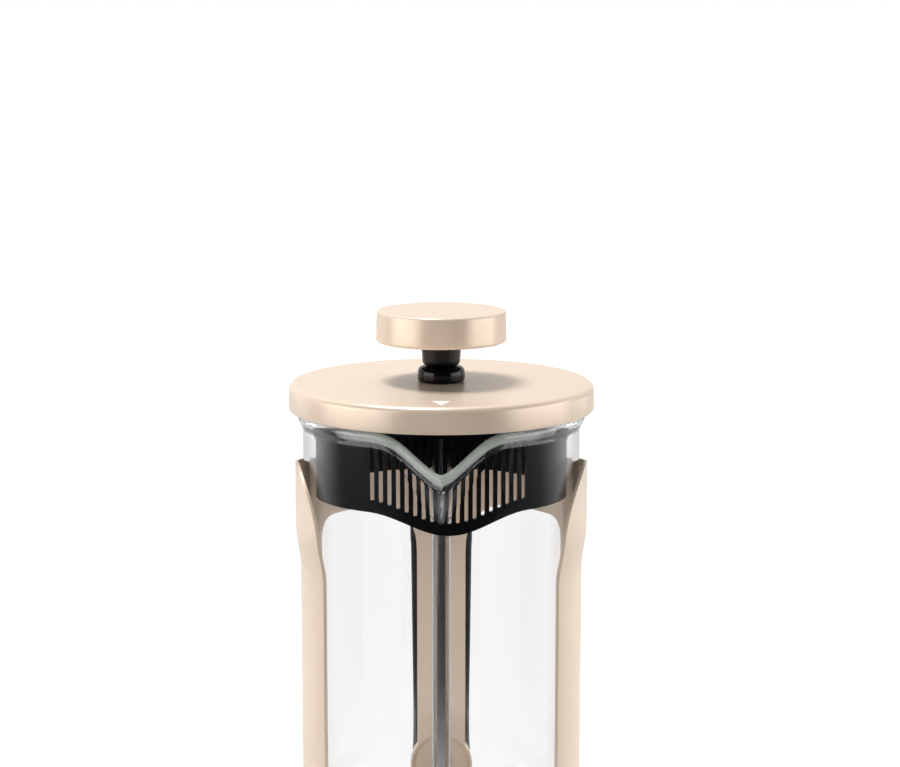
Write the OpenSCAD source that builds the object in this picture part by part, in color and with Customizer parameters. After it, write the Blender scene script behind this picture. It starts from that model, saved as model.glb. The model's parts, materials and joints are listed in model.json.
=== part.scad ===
// Plunger coffee press for about one litre, stored with its plunger pressed down.
// A glass beaker with a V spout stands in a painted sheet-steel frame that has a moulded handle.
// Millimetres. +Z is up, the origin is on the beaker's axis at the table, the spout points to -Y
// and the handle to +Y.

/* [Beaker] */
// Outer diameter of the glass beaker
beaker_d = 96; // [80:1:116]
// Height of the beaker from its underside to its rim
beaker_h = 180; // [150:1:216]
// Thickness of the glass wall
glass_wall = 2; // [1.6:0.1:3]
// Thickness of the glass bottom
glass_bottom = 3; // [2:0.1:4]
// Outer radius of the beaker's bottom corner
beaker_corner_r = 11; // [6:0.5:16]
// How far the rim flares out past the wall
rim_flare = 1.8; // [1:0.1:2.4]
// Height over which the rim flares
rim_flare_h = 6.5; // [4:0.5:8]

/* [Spout] */
// How far the lip of the spout dips below the rim
spout_drop = 12.5; // [9:0.5:16]
// How far the spout stands out past the beaker's wall
spout_reach = 8; // [6:0.5:11]
// Half the width of the dip in the rim
spout_half_w = 24; // [18:0.5:28]
// Lean of the spout's ridge from the vertical
spout_lean = 33; // [25:1:40]
// Half the angle between the spout's two walls
spout_half_angle = 41; // [35:1:50]
// Outer radius of the spout's nose
spout_nose_r = 3.6; // [3:0.2:6]

/* [Frame] */
// Thickness of the painted steel sheet
sheet = 0.9; // [0.7:0.1:1.3]
// Clearance between the glass and the uprights
frame_gap = 0.3; // [0.3:0.1:0.8]
// How far the upper band stands out past the uprights
band_flare = 1.6; // [1.5:0.1:3]
// Height of the step between the uprights and the band
flare_h = 15; // [10:1:20]
// Height of the step's upper end above the rear windows' top
flare_rise = 3.8; // [0:0.2:6]
// Depth of the band's top edge below the beaker's rim, measured at the beaker's axis
band_top_drop = 18.5; // [15:0.5:24]
// Fall of the band's top edge towards the handle, in degrees
band_slope = 7.7; // [0:0.1:12]
// Depth of the rear window's top below the beaker's rim
window_top_drop = 43.8; // [40:0.2:50]
// Distance of the side uprights' front edge ahead of the beaker's axis
upright_front = 28.8; // [26:0.2:34]
// Radius of the corner where the front edge meets the top edge
frame_corner_r = 4; // [2:0.5:6]
// Distance of the side uprights' rear edge behind the beaker's axis
upright_rear = 17.5; // [8:0.5:18]
// Width of the rear upright
rear_upright_w = 18.6; // [14:0.2:22]
// Height of the closed ring at the frame's foot, above the table
base_ring_top = 22; // [16:0.5:30]
// Radius of the round pad that carries the handle's lower screw
pad_r = 12; // [10:0.5:13]
// Depth of the round pad's recess
pad_depth = 2.3; // [1.8:0.1:3]

/* [Base] */
// Thickness of the rubber foot
foot_t = 3; // [2:0.5:5]
// Distance from the frame's outside in to the foot's edge
foot_inset = 5; // [4:0.5:9]
// Thickness of the steel base plate
base_plate_t = 1; // [0.8:0.1:1.5]
// Thickness of the silicone cushion under the glass
cushion_t = 2.5; // [1.5:0.5:4]

/* [Handle] */
// Height of the lower handle screw above the table
handle_low_z = 42; // [38:0.5:50]
// Distance of the handle's back from the frame's outside
handle_reach = 50; // [44:1:60]
// Thickness of the handle's bar, seen from the side
grip_t = 14; // [11:0.5:17]
// Width of the handle at its upper end
handle_w_top = 26.6; // [18:0.2:27]
// Width of the handle at its lower end
handle_w_low = 22.4; // [18:0.2:26]
// Outer radius of the handle's upper bend
handle_bend_top = 26; // [20:1:32]
// Outer radius of the handle's lower bend
handle_bend_low = 30; // [20:1:34]
// Lean of the grip towards the frame's foot, in degrees
handle_lean = 4; // [0:0.5:8]
// Radius of the handle screws
screw_r = 2; // [1.5:0.25:2.5]
// Radius of the screw heads
screw_head_r = 3.8; // [3:0.1:4.5]
// Height of the screw heads
screw_head_h = 1.4; // [1:0.1:1.6]
// Length of the screws under the head
screw_l = 13; // [10:1:16]
// Outer radius of the brass inserts
insert_r = 3.6; // [3:0.1:4.5]
// Length of the brass inserts
insert_l = 10; // [8:1:12]

/* [Lid] */
// How far the lid stands out past the beaker's rim
lid_overhang = 3; // [2.5:0.1:5]
// Height of the lid's edge
lid_h = 9; // [7:0.5:12]
// Draft of the lid's side
lid_draft = 0.1; // [0:0.1:1.5]
// Thickness of the lid's sheet
lid_sheet = 0.8; // [0.6:0.1:1.2]
// Radius of the lid's shoulder
lid_shoulder_r = 2.6; // [1.5:0.1:3]
// Clearance between the liner's sleeve and the glass
sleeve_gap = 2.4; // [1.5:0.1:3]
// Wall of the liner
liner_wall = 1.8; // [1.2:0.1:2.5]
// Depth of the sleeve below the lid's lower edge at the back
sleeve_depth = 30.2; // [26:0.5:34]
// Rise of the sleeve's lower edge from the axis to the front
sleeve_rise = 1.6; // [0:0.1:3]
// Depth of the sleeve below the lid's lower edge at the middle of the dip
dip_depth = 35.4; // [34:0.2:40]
// Half the width of the dip in the sleeve
dip_half_w = 26; // [22:0.5:30]
// Turn of the liner about the lid's axis
liner_turn = 3.5; // [-10:0.5:10]
// Number of strainer slots
slot_count = 19; // [11:2:21]
// Distance between strainer slots
slot_pitch = 2.75; // [2.4:0.05:3]
// Width of a strainer slot
slot_w = 1.3; // [1:0.1:1.6]
// Depth of the slots' top below the lid's lower edge
slot_top_drop = 3.5; // [3:0.5:8]
// Distance from the slots to the sleeve's lower edge
slot_margin = 4.4; // [3:0.2:7]

/* [Gland] */
// Radius of the gland's dome
gland_dome_r = 8.2; // [7:0.1:10]
// Height of the gland's dome above the lid
gland_dome_h = 5.5; // [4:0.1:7]
// Radius of the gland's stem
gland_stem_r = 5.6; // [5:0.1:6.5]
// Radius of the retaining ring under the liner
retainer_r = 9; // [8:0.5:11]
// Thickness of the retaining ring
retainer_t = 1.4; // [1:0.1:2]

/* [Plunger] */
// Radius of the polished rod
rod_r = 3.2; // [2.7:0.1:4]
// Radius of the rod's threaded ends
thread_r = 2.5; // [2:0.1:3]
// Height of the filter's mesh above the inside of the glass bottom
filter_rest = 17; // [12:0.5:30]
// Radius of the stop pressed on the rod above the filter
stop_r = 6; // [5:0.5:8]
// Height of the stop
stop_h = 3; // [2:0.5:5]

/* [Filter] */
// Clearance between the filter's spring and the glass
filter_gap = 0.3; // [0.2:0.1:0.5]
// Diameter of the coiled spring at the filter's edge
spring_d = 4; // [3:0.1:5]
// Thickness of the filter's steel plates
plate_t = 0.8; // [0.6:0.1:1.2]
// Thickness of the woven screen
mesh_t = 0.4; // [0.3:0.1:0.6]
// Height of the spiral plate's rim
plate_rim_h = 5; // [4:0.5:7]
// Width of the cross plate's arms
cross_arm_w = 10; // [8:0.5:14]
// Height of the threaded hub under the cross plate
hub_h = 6; // [5:0.5:8]
// Radius of the threaded hub
hub_r = 6.5; // [5.5:0.5:8]

/* [Knob] */
// Diameter of the knob at its lower edge
knob_d = 45.1; // [38:0.1:52]
// Height of the knob
knob_h = 10.7; // [8:0.1:14]
// Draft of the knob's side
knob_draft = 0.3; // [0:0.1:1]
// Radius of the knob's edges
knob_edge_r = 1; // [0.5:0.1:2]
// Thickness of the knob's sheet
knob_sheet = 0.8; // [0.6:0.1:1.2]
// Height of the collar between the gland and the knob
collar_h = 8.5; // [6:0.1:12]
// Radius of the collar under the knob
collar_top_r = 7; // [6:0.1:8.5]
// Radius of the collar at the gland
collar_low_r = 6.5; // [5.5:0.1:8]
// Outer radius of the knob's brass insert
knob_insert_r = 4.4; // [4:0.1:5.5]

/* [Fits] */
// Radial clearance of the rod in its bores and of the gland in the lid
running_gap = 0.05; // [0.02:0.01:0.1]
// Clearance between faces that meet but do not slide
seat_gap = 0.1; // [0.05:0.05:0.3]
// Clearance between neighbouring curved faces that move apart
safe_gap = 0.3; // [0.25:0.05:0.5]

/* [Hidden] */
$fn = 96;
arc_steps = 8;
beyond = 90;
sliver = 0.01;
lip_spare = 0.5;

cream = [0.94, 0.87, 0.79];
black = [0.09, 0.09, 0.1];
steel = [0.75, 0.76, 0.78];
brass = [0.78, 0.63, 0.33];
clear = [0.75, 0.87, 0.86, 0.4];

// radii
beaker_r = beaker_d / 2;
bore_r = beaker_r - glass_wall;
frame_in_r = beaker_r + frame_gap;
frame_out_r = frame_in_r + sheet;
band_out_r = frame_out_r + band_flare;
band_in_r = band_out_r - sheet;
lid_r = beaker_r + rim_flare + lid_overhang;
sleeve_r = bore_r - sleeve_gap;
knob_r = knob_d / 2;
frame_flange_w = 9;
frame_foot_r = 2.5;

// heights
plate_z = foot_t + sheet;
cushion_z = plate_z + base_plate_t;
beaker_z = cushion_z + cushion_t;
rim_z = beaker_z + beaker_h;
liner_flange_z = rim_z + seat_gap;
lid_z = liner_flange_z + 0.5;
lid_top_z = lid_z + lid_h;
liner_top_z = lid_top_z - lid_sheet;
liner_plate_z = liner_top_z - liner_wall;
gland_top_z = lid_top_z + gland_dome_h;
collar_z = gland_top_z + seat_gap;
knob_z = collar_z + collar_h;
knob_top_z = knob_z + knob_h;
window_top_z = rim_z - window_top_drop;
flare_top_z = window_top_z + flare_rise;
flare_low_z = flare_top_z - flare_h;
handle_top_z = window_top_z + (rim_z - band_top_drop - window_top_z) * 0.42;
mesh_z = beaker_z + glass_bottom + filter_rest;
spiral_z = mesh_z + mesh_t;
cross_z = mesh_z - plate_t;
stop_z = spiral_z + plate_t;

// ---------- helpers ----------

// points of an arc round a centre
function arc(c, r, a0, a1, n = arc_steps) =
    [for (i = [0:n]) c + r * [cos(a0 + (a1 - a0) * i / n), sin(a0 + (a1 - a0) * i / n)]];

// smooth step from 0 to 1
function ease(t) = t * t * (3 - 2 * t);

// an outline drawn as [y, z], extruded to both sides along X
module from_side(half_w) {
    rotate([90, 0, 90])
        translate([0, 0, -half_w])
            linear_extrude(2 * half_w) children();
}

// an outline drawn as [x, z], extruded from y0 to y1
module from_front(y0, y1) {
    translate([0, y1, 0])
        rotate([90, 0, 0])
            linear_extrude(y1 - y0) children();
}

// a plain tube or disc between two heights
module ring(r_out, r_in, z0, z1) {
    translate([0, 0, z0])
        difference() {
            cylinder(h = z1 - z0, r = r_out);
            translate([0, 0, -1]) cylinder(h = z1 - z0 + 2, r = r_in);
        }
}

// ---------- beaker ----------

// share of the full dip at a share t of the half width: a rounded V whose shoulders run out level
function lip_dip(t) = let (nose = 0.06) pow(1 - (sqrt(t * t + nose * nose) - nose), 1.1 + 1.4 * t);
// height of the spout's lip at a distance x from the middle
function lip_z(x) = rim_z + lip_spare - (spout_drop + lip_spare) * lip_dip(min(1, abs(x) / spout_half_w));

module beaker_outside() {
    rotate_extrude() polygon(concat(
        [[0, beaker_z]],
        arc([beaker_r - beaker_corner_r, beaker_z + beaker_corner_r], beaker_corner_r, -90, 0),
        [[beaker_r, rim_z - rim_flare_h]],
        [for (i = [1:6]) [beaker_r + rim_flare * ease(i / 6), rim_z - rim_flare_h + (rim_flare_h - 1.2) * i / 6]],
        arc([beaker_r + rim_flare - 1.2, rim_z - 1.2], 1.2, 0, 90),
        [[0, rim_z]]));
}

module beaker_inside() {
    inner_corner = beaker_corner_r - glass_wall;
    rotate_extrude() polygon(concat(
        [[0, beaker_z + glass_bottom]],
        arc([bore_r - inner_corner, beaker_z + glass_bottom + inner_corner], inner_corner, -90, 0),
        [[bore_r, rim_z - 3]],
        [[bore_r + 0.8, rim_z + 1], [0, rim_z + 1]]));
}

// a V-shaped prism with a round nose, whose ridge leans forward and rises to the lip
module spout_wedge(inset) {
    nose = spout_nose_r - inset;
    centre = [0, spout_nose_r];
    right = [cos(spout_half_angle), -sin(spout_half_angle)];
    back = 40 * [sin(spout_half_angle), cos(spout_half_angle)];
    low_z = beaker_z + beaker_corner_r;
    intersection() {
        translate([0, -beaker_r - spout_reach, rim_z - spout_drop])
            rotate([spout_lean, 0, 0])
                translate([0, 0, -beyond / 2])
                    linear_extrude(beyond)
                        polygon(concat(
                            arc(centre, nose, 180 + spout_half_angle, 360 - spout_half_angle),
                            [centre + nose * right + back],
                            [[-(nose * right + back)[0], (centre + nose * right + back)[1]]]));
        translate([-beyond, -beyond, low_z])
            cube([2 * beyond, beyond, rim_z - low_z]);
    }
}

module glass_beaker() {
    steps = 24;
    color(clear) difference() {
        union() {
            beaker_outside();
            spout_wedge(0);
        }
        beaker_inside();
        spout_wedge(glass_wall);
        from_front(-beyond, -bore_r / 2)
            polygon(concat(
                [[spout_half_w, rim_z + 9], [-spout_half_w, rim_z + 9]],
                [for (i = [-steps:steps]) [spout_half_w * i / steps, lip_z(spout_half_w * i / steps)]]));
    }
}

// ---------- frame ----------

// wall of the frame as [radius, height], at one face of the sheet
function flare_line(r_low, r_top, n = 10) =
    [for (i = [0:n]) [r_low + (r_top - r_low) * ease(i / n), flare_low_z + flare_h * i / n]];

module frame_wall() {
    rotate_extrude() polygon(concat(
        [[frame_out_r - frame_flange_w, foot_t]],
        arc([frame_out_r - frame_foot_r, foot_t + frame_foot_r], frame_foot_r, -90, 0, 4),
        flare_line(frame_out_r, band_out_r),
        [[band_out_r, rim_z], [band_in_r, rim_z]],
        [for (i = [10:-1:0]) flare_line(frame_in_r, band_in_r)[i]],
        arc([frame_out_r - frame_foot_r, foot_t + frame_foot_r], frame_foot_r - sheet, 0, -90, 4),
        [[frame_out_r - frame_flange_w, foot_t + sheet]]));
}

// everything that is cut away ahead of the uprights and above the band, as [y, z]
module front_opening() {
    ring_fillet = 14;
    arc_c = [0, window_top_z];
    top_dist = (rim_z - band_top_drop - arc_c[1]) * cos(band_slope);
    along = [cos(band_slope), -sin(band_slope)];
    up = [sin(band_slope), cos(band_slope)];
    corner_up = top_dist - frame_corner_r;
    corner_back = sqrt(pow(upright_front - frame_corner_r, 2) - pow(corner_up, 2));
    corner_c = arc_c - corner_back * along + corner_up * up;
    meet = atan2(corner_c[1] - arc_c[1], corner_c[0] - arc_c[0]);
    polygon(concat(
        [[-beyond, base_ring_top]],
        arc([-upright_front - ring_fillet, base_ring_top + ring_fillet], ring_fillet, -90, 0),
        arc(arc_c, upright_front, 180, meet),
        arc(corner_c, frame_corner_r, meet, 90 - band_slope, 5),
        [arc_c + top_dist * up + beyond * along, [beyond, rim_z + 9], [-beyond, rim_z + 9]]));
}

// the part of a rear window that is seen from the side, as [y, z]
module window_side() {
    top_r = 10;
    low_r = 12;
    polygon(concat(
        arc([upright_rear + top_r, window_top_z - top_r], top_r, 90, 180),
        arc([upright_rear + low_r, base_ring_top + low_r], low_r, 180, 270),
        [[beyond, base_ring_top], [beyond, window_top_z]]));
}

// the part of a rear window that is seen from behind, as [x, z]
module window_back() {
    top_r = 16;
    low_r = 12;
    x0 = rear_upright_w / 2;
    polygon(concat(
        arc([x0 + top_r, window_top_z - top_r], top_r, 90, 180),
        arc([x0 + low_r, base_ring_top + low_r], low_r, 180, 270),
        [[beyond, base_ring_top], [beyond, window_top_z]]));
}

module rear_windows() {
    intersection() {
        from_side(beyond) window_side();
        union() {
            from_front(0, beyond) window_back();
            mirror([1, 0, 0]) from_front(0, beyond) window_back();
        }
    }
}

// a round pad pressed out of the rear upright, standing proud of the glass
module pad_outside() {
    translate([0, frame_in_r - 6, handle_low_z])
        rotate([-90, 0, 0])
            cylinder(h = 6 + pad_depth + sheet, r = pad_r);
}

module frame_shell() {
    hole_r = screw_r + safe_gap;
    color(cream) difference() {
        union() {
            difference() {
                frame_wall();
                from_side(beyond) front_opening();
                rear_windows();
            }
            difference() {
                pad_outside();
                cylinder(h = rim_z, r = frame_in_r);
            }
        }
        translate([0, 0, handle_low_z])
            rotate([-90, 0, 0])
                cylinder(h = frame_in_r + pad_depth, r = pad_r - sheet);
        for (z = [handle_low_z, handle_top_z])
            translate([0, beaker_r, z])
                rotate([-90, 0, 0])
                    cylinder(h = 12, r = hole_r);
    }
}

module base_plate() {
    color(steel) ring(frame_out_r - frame_foot_r - seat_gap, 0, plate_z, cushion_z);
}

module foot_pad() {
    foot_r = frame_out_r - foot_inset;
    edge = 0.8;
    color(black) union() {
        rotate_extrude() polygon(concat(
            [[0, 0]],
            arc([foot_r - edge, edge], edge, -90, 0, 4),
            [[foot_r, foot_t], [0, foot_t]]));
        ring(frame_out_r - frame_flange_w - 0.2, 0, foot_t - sliver, plate_z);
    }
}

module beaker_cushion() {
    color(black) translate([0, 0, cushion_z])
        cylinder(h = cushion_t, r1 = beaker_r - 4, r2 = beaker_r - beaker_corner_r + 1);
}

// ---------- handle ----------

handle_back = frame_out_r + handle_reach;

// the handle as [y, z]: one bent bar from the band to the pad, whose grip leans in at the foot
module handle_side() {
    top_z = handle_top_z + grip_t / 2;
    low_z = handle_low_z - grip_t / 2;
    c_top = [handle_back - handle_bend_top, top_z - handle_bend_top];
    c_low_z = low_z + handle_bend_low;
    c_low_in = handle_bend_low - handle_bend_top + (c_top[1] - c_low_z) * sin(handle_lean);
    c_low = [c_top[0] - c_low_in / cos(handle_lean), c_low_z];
    polygon(concat(
        [[beaker_r, low_z]],
        arc(c_low, handle_bend_low, -90, -handle_lean),
        arc(c_top, handle_bend_top, -handle_lean, 90),
        [[beaker_r, top_z], [beaker_r, top_z - grip_t]],
        arc(c_top, handle_bend_top - grip_t, 90, -handle_lean),
        arc(c_low, handle_bend_low - grip_t, -handle_lean, -90),
        [[beaker_r, low_z + grip_t]]));
}

// the handle as [x, z]: wider at its top
module handle_front() {
    polygon([[-handle_w_low / 2, handle_low_z - grip_t], [handle_w_low / 2, handle_low_z - grip_t],
        [handle_w_top / 2, handle_top_z + grip_t], [-handle_w_top / 2, handle_top_z + grip_t]]);
}

module handle() {
    pad_y = frame_in_r + pad_depth + sheet;
    color(black) difference() {
        intersection() {
            from_side(beyond) handle_side();
            from_front(0, beyond + 60) handle_front();
        }
        cylinder(h = rim_z, r = band_out_r + sliver);
        translate([-beyond, 0, 0]) cube([2 * beyond, pad_y + sliver, handle_low_z + pad_r + 4]);
        translate([0, pad_y - 1, handle_low_z])
            rotate([-90, 0, 0])
                cylinder(h = insert_l + 6, r = insert_r);
        translate([0, band_out_r - 1, handle_top_z])
            rotate([-90, 0, 0])
                cylinder(h = insert_l + 6, r = insert_r);
    }
}

module handle_insert(y0, z) {
    translate([0, y0, z])
        rotate([-90, 0, 0])
            difference() {
                cylinder(h = insert_l, r = insert_r);
                translate([0, 0, -1]) cylinder(h = insert_l + 2, r = screw_r + running_gap);
            }
}

module handle_inserts() {
    color(brass) {
        handle_insert(frame_in_r + pad_depth + sheet + seat_gap, handle_low_z);
        handle_insert(band_out_r + seat_gap, handle_top_z);
    }
}

// a pan-head screw whose head bears on the sheet at y0
module handle_screw(y0, z) {
    drive_w = 0.9;
    drive_l = 4;
    translate([0, y0, z])
        rotate([-90, 0, 0])
            difference() {
                union() {
                    rotate_extrude() polygon(concat(
                        [[0, -screw_head_h]],
                        arc([screw_head_r - 1, -screw_head_h + 1], 1, -90, 0, 4),
                        [[screw_head_r, 0], [0, 0]]));
                    translate([0, 0, -sliver]) cylinder(h = screw_l, r = screw_r);
                }
                for (a = [0, 90])
                    rotate([0, 0, a])
                        translate([-drive_l / 2, -drive_w / 2, -screw_head_h - 1])
                            cube([drive_l, drive_w, 1.7]);
            }
}

module handle_screw_upper() {
    color(steel) handle_screw(band_in_r - 0.15, handle_top_z);
}

module handle_screw_lower() {
    color(steel) handle_screw(frame_in_r + pad_depth, handle_low_z);
}

// ---------- lid ----------

module lid_cap() {
    hem = 1.4;
    top_r = lid_r - lid_draft;
    edge_r = 0.4;
    in_shoulder = lid_shoulder_r - lid_sheet;
    color(cream) rotate_extrude() polygon(concat(
        [[gland_stem_r + safe_gap, liner_top_z]],
        arc([top_r - lid_shoulder_r, lid_top_z - lid_shoulder_r], in_shoulder, 90, 0, 5),
        [[lid_r - lid_sheet, lid_z + lid_sheet], [lid_r - hem, lid_z + lid_sheet], [lid_r - hem, lid_z]],
        arc([lid_r - edge_r, lid_z + edge_r], edge_r, -90, 0, 4),
        arc([top_r - lid_shoulder_r, lid_top_z - lid_shoulder_r], lid_shoulder_r, 0, 90),
        [[gland_stem_r + safe_gap, lid_top_z]]));
}

// height of the sleeve's lower edge, in the side view ahead of the axis
function sleeve_edge(y) = lid_z - sleeve_depth + sleeve_rise * max(0, -y) / sleeve_r;
// height of the sleeve's lower edge inside the dip, in the front view
dip_edge = sleeve_edge(-sqrt(pow(sleeve_r, 2) - pow(dip_half_w, 2)));
function dip_z(x) = dip_edge - (dip_edge - lid_z + dip_depth) * (0.5 + 0.5 * cos(180 * min(1, abs(x) / dip_half_w)));

module slot(x) {
    z0 = dip_z(x) + slot_margin;
    z1 = lid_z - slot_top_drop;
    translate([x - slot_w / 2, z0]) square([slot_w, z1 - z0]);
    translate([x, z0]) circle(d = slot_w, $fn = 24);
    translate([x, z1]) circle(d = slot_w, $fn = 24);
}

module liner_body() {
    flange_r = beaker_r + rim_flare + seat_gap;
    flange_t = 1.6;
    deep_z = lid_z - dip_depth;
    rotate_extrude() polygon([
        [gland_stem_r + running_gap, liner_plate_z], [sleeve_r - liner_wall, liner_plate_z],
        [sleeve_r - liner_wall, deep_z], [sleeve_r, deep_z],
        [sleeve_r, liner_flange_z], [flange_r, liner_flange_z],
        [flange_r, liner_flange_z + 0.5], [flange_r - 1, liner_flange_z + flange_t],
        [sleeve_r, liner_flange_z + flange_t], [sleeve_r, liner_top_z],
        [gland_stem_r + running_gap, liner_top_z]]);
}

module lid_liner() {
    steps = 20;
    low = lid_z - dip_depth - 5;
    color(black) rotate([0, 0, liner_turn]) difference() {
        liner_body();
        difference() {
            from_side(beyond) polygon([[-beyond, low], [beyond, low], [beyond, sleeve_edge(0)],
                [0, sleeve_edge(0)], [-beyond, sleeve_edge(-beyond)]]);
            translate([-dip_half_w, -beyond, low - 1])
                cube([2 * dip_half_w, beyond, dip_depth]);
        }
        from_front(-beyond, 0) polygon(concat(
            [[-dip_half_w - sliver, low - 2]],
            [for (i = [-steps:steps]) [dip_half_w * i / steps, dip_z(dip_half_w * i / steps)]],
            [[dip_half_w + sliver, low - 2]]));
        from_front(-beyond, -sleeve_r / 3)
            for (i = [0:slot_count - 1])
                slot((i - (slot_count - 1) / 2) * slot_pitch);
    }
}

module lid_gland() {
    low_z = liner_plate_z - seat_gap - retainer_t - 1;
    crown = 2.4;
    skirt = 1.2;
    color(black) rotate_extrude() polygon(concat(
        [[rod_r + running_gap, low_z], [gland_stem_r, low_z], [gland_stem_r, lid_top_z + seat_gap]],
        arc([gland_dome_r - skirt, lid_top_z + seat_gap + skirt], skirt, -90, 0, 4),
        arc([gland_dome_r - crown, gland_top_z - crown], crown, 0, 90, 6),
        [[rod_r + running_gap, gland_top_z]]));
}

module gland_retainer() {
    z1 = liner_plate_z - seat_gap;
    color(steel) ring(retainer_r, gland_stem_r, z1 - retainer_t, z1);
}

// ---------- plunger ----------

hub_z = cross_z - hub_h;
rod_top_z = knob_top_z - knob_sheet - 2;

module plunger_rod() {
    tip = 0.5;
    thread_low = stop_z;
    thread_up = collar_z + 3;
    color(steel) rotate_extrude() polygon([
        [0, hub_z + 0.5], [thread_r - tip, hub_z + 0.5], [thread_r, hub_z + 0.5 + tip],
        [thread_r, thread_low], [rod_r, thread_low],
        [rod_r, thread_up], [thread_r, thread_up],
        [thread_r, rod_top_z - tip], [thread_r - tip, rod_top_z], [0, rod_top_z]]);
}

module rod_stop() {
    edge = 0.5;
    z0 = stop_z + seat_gap;
    color(steel) rotate_extrude() polygon([
        [rod_r, z0], [stop_r - edge, z0], [stop_r, z0 + edge],
        [stop_r, z0 + stop_h - edge], [stop_r - edge, z0 + stop_h], [rod_r, z0 + stop_h]]);
}

// ---------- knob ----------

module knob_shell() {
    top_r = knob_r - knob_draft;
    inner = knob_edge_r - knob_sheet;
    color(cream) rotate_extrude() polygon(concat(
        [[0, knob_top_z - knob_sheet]],
        arc([top_r - knob_edge_r, knob_top_z - knob_edge_r], max(inner, 0.1), 90, 0, 3),
        [[knob_r - knob_sheet, knob_z + knob_edge_r], [knob_r - knob_sheet - 0.6, knob_z + 0.2]],
        [[knob_r - knob_sheet - 0.6, knob_z]],
        arc([knob_r - knob_edge_r, knob_z + knob_edge_r], knob_edge_r, -90, 0, 5),
        arc([top_r - knob_edge_r, knob_top_z - knob_edge_r], knob_edge_r, 0, 90, 5),
        [[0, knob_top_z]]));
}

module knob_core() {
    core_r = knob_r - knob_sheet - 0.7;
    round_r = 2;
    color(black) difference() {
        rotate_extrude() polygon(concat(
            [[0, collar_z]],
            arc([collar_low_r - round_r, collar_z + round_r], round_r, -90, 0, 6),
            [[collar_top_r, knob_z + 0.5], [core_r, knob_z + 0.5]],
            [[core_r, knob_top_z - knob_sheet - 0.6], [core_r - 0.8, knob_top_z - knob_sheet]],
            [[0, knob_top_z - knob_sheet]]));
        translate([0, 0, collar_z - 1]) cylinder(h = 6, r = rod_r + running_gap);
        translate([0, 0, collar_z + 3.5])
            cylinder(h = rod_top_z - collar_z - 3, r = knob_insert_r);
    }
}

module knob_insert() {
    z0 = collar_z + 5.1;
    color(brass) ring(knob_insert_r, thread_r + running_gap, z0, rod_top_z);
}

// ---------- filter ----------

spring_ring_r = bore_r - filter_gap - spring_d / 2;
spring_in_r = spring_ring_r - spring_d / 2;

module spiral_plate() {
    color(steel) difference() {
        union() {
            ring(spring_ring_r + 0.6, thread_r + running_gap, spiral_z, spiral_z + plate_t);
            ring(spring_in_r - 0.05, spring_in_r - 0.05 - plate_t, spiral_z, spiral_z + plate_rim_h);
        }
        for (row = [[8, 0.37, 3.6], [14, 0.6, 3.8], [20, 0.83, 3.8]])
            for (i = [0:row[0] - 1])
                rotate([0, 0, 360 * i / row[0]])
                    translate([spring_in_r * row[1], 0, spiral_z - 1])
                        cylinder(h = plate_t + 2, r = row[2], $fn = 32);
    }
}

module edge_spring() {
    color(steel) translate([0, 0, spiral_z + plate_t + spring_d / 2 + sliver])
        rotate_extrude() translate([spring_ring_r, 0]) circle(d = spring_d);
}

module mesh_screen() {
    edge_r = bore_r - filter_gap - 0.3;
    color(steel) ring(edge_r, thread_r + running_gap, mesh_z, mesh_z + mesh_t);
}

module cross_plate() {
    plate_r = spring_in_r;
    band = 6;
    color(steel) difference() {
        union() {
            ring(plate_r, thread_r + running_gap, cross_z, mesh_z);
            ring(plate_r, plate_r - plate_t, cross_z - 2, cross_z + sliver);
        }
        for (a = [0:90:270])
            rotate([0, 0, a])
                intersection() {
                    ring(plate_r - band, 11, cross_z - 1, mesh_z + 1);
                    translate([cross_arm_w / 2, cross_arm_w / 2, cross_z - 2]) cube([beyond, beyond, 5]);
                }
    }
}

module filter_hub() {
    edge = 0.8;
    bore = thread_r + running_gap;
    color(steel) rotate_extrude() polygon([
        [bore, hub_z], [hub_r - edge, hub_z], [hub_r, hub_z + edge],
        [hub_r, cross_z], [bore, cross_z]]);
}

frame_shell();
base_plate();
foot_pad();
beaker_cushion();
handle();
handle_inserts();
handle_screw_upper();
handle_screw_lower();
glass_beaker();
lid_cap();
lid_liner();
lid_gland();
gland_retainer();
plunger_rod();
rod_stop();
knob_shell();
knob_core();
knob_insert();
spiral_plate();
edge_spring();
mesh_screen();
cross_plate();
filter_hub();
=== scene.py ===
# %% [markdown]
# A one-litre plunger coffee press, drawn around its CAD frame.
# The CAD holds every size and every joint. This script gives each surface the finish of the real
# thing, and draws finer meshes where the CAD is only a stand-in: the blown glass, the moulded
# handle, the coiled spring and the woven screen of the filter.

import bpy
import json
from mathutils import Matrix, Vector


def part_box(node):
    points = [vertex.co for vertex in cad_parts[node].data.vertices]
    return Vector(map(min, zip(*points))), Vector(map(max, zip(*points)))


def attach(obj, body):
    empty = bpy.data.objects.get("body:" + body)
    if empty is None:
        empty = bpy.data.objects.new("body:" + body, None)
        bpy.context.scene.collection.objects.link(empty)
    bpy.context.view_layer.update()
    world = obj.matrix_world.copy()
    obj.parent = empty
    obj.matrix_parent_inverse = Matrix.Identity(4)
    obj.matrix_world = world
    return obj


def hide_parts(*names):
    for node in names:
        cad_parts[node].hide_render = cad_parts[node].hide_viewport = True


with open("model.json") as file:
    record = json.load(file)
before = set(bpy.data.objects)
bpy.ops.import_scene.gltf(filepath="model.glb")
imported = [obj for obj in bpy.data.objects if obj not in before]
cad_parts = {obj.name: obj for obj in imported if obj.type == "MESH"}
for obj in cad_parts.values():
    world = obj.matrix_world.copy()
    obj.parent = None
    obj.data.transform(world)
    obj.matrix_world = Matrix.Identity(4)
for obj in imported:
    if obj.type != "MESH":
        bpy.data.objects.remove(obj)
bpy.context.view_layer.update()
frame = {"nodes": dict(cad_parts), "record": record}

import json
import math

import bmesh
import bpy
import numpy as np
from mathutils import Vector

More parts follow.
